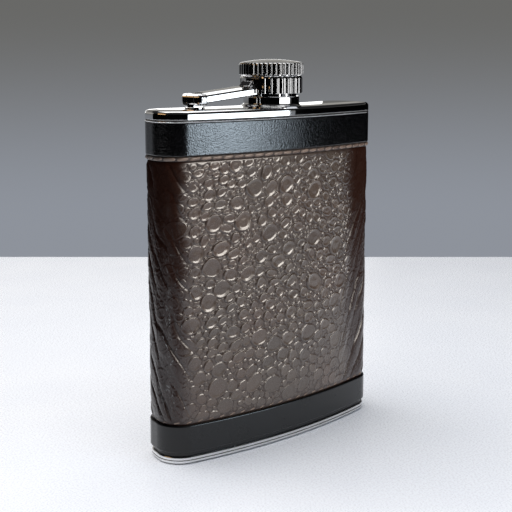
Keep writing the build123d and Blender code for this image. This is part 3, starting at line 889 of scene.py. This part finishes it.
flare = np.linspace(0.12, pi / 2, 8)
flare_out = FLARE_RADIUS - NECK_FLARE * np.sin(flare)
flare_up = PLATE_TOP + NECK_FLARE * (1 - np.cos(flare))
neck_edge = [(NECK_RADIUS, PLATE_TOP + 0.95, 0), (NECK_RADIUS, NECK_TOP, 0.3), (SPOUT_RADIUS, NECK_TOP, 0)]
neck = turned(
    "neck_collar_polished",
    np.concatenate([
        [(SPOUT_RADIUS, NECK_FOOT), (FLARE_RADIUS, NECK_FOOT), (FLARE_RADIUS, PLATE_TOP)],
        np.stack([flare_out, flare_up], -1),
        rounded(neck_edge, 6)[1:],
    ]),
    "root", foot_limit,
)
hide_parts("neck_collar")

collar_profile = [
    (7.5, NECK_TOP, 0), (8.2, NECK_TOP, 0.06), (8.2, 115.1, 0.06), (COLLAR_RADIUS, 115.1, 0.15),
    (COLLAR_RADIUS, 119.8, 0.10), (9.6, 120.7, 0.12), (8.6, 120.7, 0.06), (8.6, 119.9, 0),
    (9.3, 119.9, 0), (9.3, 115.7, 0), (7.5, 115.7, 0),
]
collar_flutes = scallops(32, COLLAR_RADIUS, cutter=1.3, depth=0.3, soften=0.05, left_out=4)
collar = turned(
    "swivel_collar_polished", rounded(collar_profile, 5, closed=True), "lever", collar_flutes, 1024
)
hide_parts("swivel_collar")

DOME_RISE = 1.1
DOME = (CAP_RADIUS**2 + DOME_RISE**2) / (2 * DOME_RISE)
DOME_EDGE = 9.5
CAP_FOOT = 120.95
SHANK_IN, SHANK_OUT, RING_GROOVE = 7.8, 8.53, 8.2
CAP_FLUTES = 44
dome_radii = np.linspace(9.4, 0.4, 14)
dome_rise = np.sqrt(DOME**2 - dome_radii**2) - DOME
edge_end = (DOME_EDGE, CAP_TOP + sqrt(DOME**2 - DOME_EDGE**2) - DOME)
head_edge = rounded(
    [(SHANK_OUT, CAP_FOOT, 0), (CAP_RADIUS, CAP_FOOT, 0.25), (CAP_RADIUS, 124.68, 0.8), (*edge_end, 0)], 9
)
inside_cap = np.array([
    (0.5, 120.2), (SHANK_IN, 120.2), (SHANK_IN, 115.9), (SHANK_OUT, 115.9), (SHANK_OUT, 116.05),
    (RING_GROOVE, 116.05), (RING_GROOVE, 116.85), (SHANK_OUT, 116.85), (SHANK_OUT, 120.9),
])
cap_flutes = scallops(CAP_FLUTES, CAP_RADIUS, cutter=0.5, depth=0.42, soften=0.035)
cap = turned(
    "cap_polished",
    np.concatenate([inside_cap, head_edge[:-1], np.stack([dome_radii, CAP_TOP + dome_rise], -1)]),
    "cap", cap_flutes, CAP_FLUTES * 24, closed=False, caps=True,
)
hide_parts("cap_shell")


def ridge(name, body, root, crest, bottom, height, pitch):
    """A helical ridge of thread, tapering to nothing over its first and last sixth of a turn."""
    turns, fade_turns, steps = height / pitch, 1 / 6, 96
    t = np.linspace(0, 1, int(turns * steps))
    angle = t * turns * 2 * pi
    fade = ramp(np.minimum(t, 1 - t) * turns, 0.0, fade_turns)
    section = np.array([(-0.1, -0.6), (0.75, -0.32), (1.0, -0.2), (1.0, 0.2), (0.75, 0.32), (-0.1, 0.6)])
    radius = root + (crest - root) * section[None, :, 0] * fade[:, None]
    grid = np.stack([
        radius * np.cos(angle)[:, None],
        NECK_Y + radius * np.sin(angle)[:, None],
        bottom + (t * height)[:, None] + section[None, :, 1] * (0.4 + 0.6 * fade[:, None]),
    ], -1)
    faces = quads(len(t), len(section))
    return mesh_of(name, grid.reshape(-1, 3), faces, body, STEEL)


ridge("cap_thread", "cap", root=SHANK_IN, crest=7.3, bottom=116.9, height=1.2, pitch=2.0)

# ---------------- lever


BAR_HALF, BAR_FLAT, BAR_TALL = 3.3, 2.35, 1.55
BAR_END = 9.62
BAR_ROWS = 60


def bar_section():
    """The bar's outline, bevelled above and rounded below, with a point every quarter of a mm."""
    corners = rounded([
        (BAR_HALF, -BAR_TALL, 0.35), (BAR_HALF, 0.6, 0.9), (BAR_FLAT, BAR_TALL, 0.3),
        (-BAR_FLAT, BAR_TALL, 0.3), (-BAR_HALF, 0.6, 0.9), (-BAR_HALF, -BAR_TALL, 0.35),
    ], 6, closed=True)
    section = []
    for a, b in zip(corners, np.roll(corners, -1, 0)):
        pieces = max(1, int(np.linalg.norm(b - a) / 0.25))
        section += [a + (b - a) * k / pieces for k in range(pieces)]
    return np.array(section)


def bar_grid():
    """The lever's bar, rising towards the collar, with a foot where it meets it."""
    section = bar_section()
    rise, foot_long, foot_tall = 2.0, 2.6, 1.5
    t = np.linspace(0, 1, BAR_ROWS)[:, None]
    y = np.broadcast_to(section[None, :, 0], (BAR_ROWS, len(section)))
    stop = -np.sqrt(BAR_END**2 - y**2)
    # it starts inside the cheeks, and further out between them, clear of the lug
    start = PIN_X + 0.9 + 1.42 * ramp(-np.abs(y), -1.9, -1.7)
    x = start + (stop - start) * t
    middle = PIN_Z + 0.3 + rise * (x - PIN_X) / (-COLLAR_RADIUS - PIN_X)
    foot = ramp(x, -COLLAR_RADIUS - foot_long, -COLLAR_RADIUS) ** 1.6 * foot_tall
    foot = foot * ramp(-np.abs(y), -2.7, -2.3)
    up = np.clip(section[None, :, 1] / BAR_TALL, 0, 1) ** 4
    z = middle + section[None, :, 1] + foot * up
    return np.stack([x, NECK_Y + y, z], -1)


bar = bar_grid()
bar_round = np.arange(bar.shape[1])
bar_object = mesh_of(
    "lever_bar", bar.reshape(-1, 3), quads(*bar.shape[:2], True), "lever", STEEL,
    caps=(bar_round[::-1], bar_round + (BAR_ROWS - 1) * len(bar_round)),
)
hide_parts("lever_arm")


KNUCKLE_HALF, CHEEK_ROUND = 1.85, 1.2


def cheek(name, side):
    """One cheek of the knuckle: a rounded square bar with a softened outer end."""
    t = np.linspace(0, pi / 2, 10)[1:-1]
    insets = np.concatenate([[0.07, 0.015, 0.0, 0.0, 0.0], CHEEK_ROUND * (1 - np.cos(t)), [1.15]])
    depths = np.concatenate([[1.75, 1.77, 1.82, 1.90, 3.50], 3.55 + CHEEK_ROUND * np.sin(t), [4.75]])
    rows = []
    for inset, depth in zip(insets, depths):
        half, radius = KNUCKLE_HALF - inset, max(CHEEK_ROUND - inset, 0.05)
        corners = [(half, -half, radius), (half, half, radius), (-half, half, radius), (-half, -half, radius)]
        ring = rounded(corners, 8, closed=True)
        y = np.full(len(ring), NECK_Y + side * depth)
        rows.append(np.stack([PIN_X + ring[:, 0], y, PIN_Z + ring[:, 1]], -1))
    grid = np.array(rows)
    count = grid.shape[1]
    faces = quads(len(grid), count, True)
    first, final = np.arange(count), np.arange(count) + (len(grid) - 1) * count
    if side < 0:
        first = first[::-1]
    else:
        faces, final = faces[:, ::-1], final[::-1]
    return mesh_of(name, grid.reshape(-1, 3), faces, "lever", STEEL, caps=(first, final))


cheek("knuckle_cheek_front", -1)
cheek("knuckle_cheek_back", 1)

# ---------------- floor, light and camera


def stage_plane(name, width, length, material):
    """A flat rectangle that isn't part of the flask."""
    mesh = bpy.data.meshes.new(name)
    w, l = width / 2, length / 2
    mesh.from_pydata([(-w, -l, 0), (w, -l, 0), (w, l, 0), (-w, l, 0)], [], [(0, 1, 2, 3)])
    mesh.materials.append(material)
    plane = bpy.data.objects.new(name, mesh)
    bpy.context.scene.collection.objects.link(plane)
    return plane


def floor_material():
    """A pale matt table with faint clouds and specks."""
    material, tree, shader = start_material("floor")
    clouds = scaled_noise(tree, 30, 3)
    specks = scaled_noise(tree, 1400, 2)
    tint = blend_colours(tree, clouds, (0.72, 0.735, 0.78, 1), (0.79, 0.80, 0.83, 1))
    tree.links.new(tint, shader.inputs["Base Color"])
    tree.links.new(spread(tree, specks, 0.3, 0.7, 0.22, 0.36), shader.inputs["Roughness"])
    shader.inputs["Specular IOR Level"].default_value = 0.5
    return material


CAMERA_AZIMUTH = -42.83
camera_place = Vector((-0.25285, -0.26717, 0.12928))
camera_target = Vector((-0.00498, 0.00020, 0.06152))
VIEW = Vector((-sin(radians(CAMERA_AZIMUTH)), cos(radians(CAMERA_AZIMUTH)), 0))
TABLE_FRONT, TABLE_BACK = -0.30, 0.325
TABLE_WIDE, TABLE_GAP = 0.9, 0.0001
floor = stage_plane("floor", TABLE_WIDE, TABLE_BACK - TABLE_FRONT, floor_material())
floor.rotation_euler = (0, 0, radians(CAMERA_AZIMUTH))
floor.location = VIEW * ((TABLE_FRONT + TABLE_BACK) / 2) + Vector((0, 0, -TABLE_GAP))


def gather(name, pieces):
    """A collection of the pieces that a light falls on."""
    group = bpy.data.collections.new(name)
    for piece in pieces:
        group.objects.link(piece)
    return group


def named(*beginnings):
    """The pieces whose names begin with one of these."""
    return [thing for thing in solid if thing.name.startswith(beginnings)]


solid = [thing for thing in bpy.context.scene.objects if thing.type == "MESH" and thing is not floor]
leather = named("leather_wrap", "top_welt_", "top_stitches", "bottom_st", "rear_st")
bands = named("top_band_", "bottom_band_")
closure = named("cap_", "swivel_")
plates = [thing for thing in solid if thing not in [*leather, *bands, *closure, base, neck]]
ON_FLOOR = gather("on_floor", [floor])
ON_LEATHER = gather("on_leather", leather)
ON_BANDS = gather("on_bands", bands)
ON_CLOSURE = gather("on_closure", closure)
ON_NECK = gather("on_neck", [neck])
ON_BASE = gather("on_base", [base])
ON_KNUCKLE = gather("on_knuckle", named("knuckle_", "hinge_post"))
ON_PLATES = gather("on_plates", plates)
ON_STEEL = gather("on_steel", [*plates, *closure, base, neck])


LIT_MIDDLE = Vector((0, 0, 0.09))


def softbox(
    name, lit, azimuth, elevation, distance, width, height, radiance, colour=(1, 1, 1), blockers=None
):
    """An area light that faces the flask and lights one group of pieces.

    Azimuth 0 is in front and 90 to the flask's right. Only the blockers, when given, shade its light.
    """
    a, e = radians(azimuth), radians(elevation)
    place = Vector((sin(a) * cos(e), -cos(a) * cos(e), sin(e))) * distance + LIT_MIDDLE
    data = bpy.data.lights.new(name, "AREA")
    data.shape = "RECTANGLE"
    data.size, data.size_y = width, height
    data.energy = radiance * pi * width * height
    data.color = colour
    lamp = bpy.data.objects.new(name, data)
    lamp.location = place
    lamp.rotation_euler = (LIT_MIDDLE - place).to_track_quat("-Z", "Y").to_euler()
    lamp.visible_camera = False
    lamp.light_linking.receiver_collection = lit
    lamp.light_linking.blocker_collection = blockers
    bpy.context.scene.collection.objects.link(lamp)


def card(name, first, last, radius, low, high):
    """A curved dark card beside the table, seen only in reflections."""
    count = 24
    turns = np.radians(np.linspace(first, last, count))
    x, y = radius * np.sin(turns), -radius * np.cos(turns)
    rows = [np.stack([x, y, np.full(count, z)], -1) for z in (low, high)]
    mesh = bpy.data.meshes.new(name)
    mesh.from_pydata(np.concatenate(rows).tolist(), [], quads(2, count).tolist())
    mesh.materials.append(CARD)
    thing = bpy.data.objects.new(name, mesh)
    thing.visible_camera = False
    bpy.context.scene.collection.objects.link(thing)


CARD, _, card_shader = start_material("card")
card_shader.inputs["Base Color"].default_value = (0.006, 0.006, 0.006, 1)
card_shader.inputs["Roughness"].default_value = 1.0
card_shader.inputs["Specular IOR Level"].default_value = 0.0

COOL, WARM, AMBER = (0.86, 0.94, 1.0), (1.0, 0.94, 0.87), (1.0, 0.62, 0.30)
softbox("plate_front", ON_PLATES, 25, 0, 0.50, 0.32, 0.17, 4.2, COOL)
softbox("band_front", ON_BANDS, 22, 0, 0.50, 0.23, 0.13, 14.0, (0.74, 0.88, 1.0))
softbox("neck_front", ON_NECK, 14, 2, 0.50, 0.42, 0.22, 3.0)
softbox("closure_left", ON_CLOSURE, -4, 2, 0.50, 0.05, 0.22, 3.0)
softbox("closure_right", ON_CLOSURE, 30, 2, 0.50, 0.06, 0.22, 3.4)
softbox("overhead", ON_STEEL, 140, 78, 0.50, 0.60, 0.42, 1.8)
softbox("band_edges", ON_BANDS, 30, 75, 0.50, 0.30, 0.20, 0.8)
softbox("behind", ON_STEEL, 151, 5.3, 0.62, 0.42, 0.053, 1.8)
softbox("gold_left", ON_STEEL, -104, 24, 0.50, 0.30, 0.15, 1.0, AMBER)
softbox("knuckle_gold", ON_KNUCKLE, -138, 16, 0.50, 0.16, 0.10, 1.0, AMBER)
softbox("knuckle_top", ON_KNUCKLE, 180, 38, 0.50, 0.50, 0.20, 2.0)
softbox("leather_front", ON_LEATHER, 18, 19, 0.50, 0.33, 0.22, 12.0, WARM)
softbox("leather_side", ON_LEATHER, -14, 17, 0.50, 0.22, 0.18, 2.6, WARM)
softbox("leather_left", ON_LEATHER, -80, -6, 0.40, 0.06, 0.06, 18.0, COOL)
softbox("base_front", ON_BASE, 16, -28, 0.50, 0.60, 0.16, 0.60, (0.86, 0.90, 1.0), ON_BASE)
softbox("floor_light", ON_FLOOR, -130, 76, 0.80, 1.3, 1.3, 3.45)
softbox("floor_front", ON_FLOOR, 20, 45, 0.60, 0.30, 0.30, 1.8, (0.62, 0.80, 1.0))
card("card_left", -150, 8, 0.66, -0.15, 0.40)
card("card_right", 45, 128, 0.72, -0.15, 0.40)


def sky():
    """A plain grey studio, lit low behind the flask as the camera sees it, and dark overhead and in front."""
    world = bpy.data.worlds.new("studio")
    bpy.context.scene.world = world
    world.use_nodes = True
    tree = world.node_tree
    where = add_node(tree, "TexCoord").outputs["Generated"]
    up = add_node(tree, "SeparateXYZ", i0=where).outputs[2]
    along_view = add_node(tree, "VectorMath", {"operation": "DOT_PRODUCT"}, i0=where, i1=tuple(VIEW))
    behind = along_view.outputs["Value"]
    dark_front, bright_back = (0.05, 0.05, 0.052, 1), (0.34, 0.33, 0.31, 1)
    below, horizon, overhead = (0.27, 0.29, 0.33, 1), (0.14, 0.14, 0.135, 1), (0.02, 0.02, 0.021, 1)
    high = blend_colours(tree, spread(tree, behind, 0.1, 0.5, 0, 1), dark_front, bright_back)
    tint = blend_colours(tree, spread(tree, up, -0.15, 0.04, 0, 1), below, horizon)
    tint = blend_colours(tree, spread(tree, up, 0.045, 0.09, 0, 1), tint, high)
    tint = blend_colours(tree, spread(tree, up, 0.25, 0.50, 0, 1), tint, overhead)
    tree.links.new(tint, tree.nodes["Background"].inputs["Color"])


sky()

camera_data = bpy.data.cameras.new("camera")
camera_data.sensor_width = 36.0
camera_data.lens = 78.6
camera = bpy.data.objects.new("camera", camera_data)
camera.location = camera_place
camera.rotation_euler = (camera_target - camera_place).to_track_quat("-Z", "Y").to_euler()
bpy.context.scene.collection.objects.link(camera)
bpy.context.scene.camera = camera
bpy.context.scene.view_settings.view_transform = "Standard"
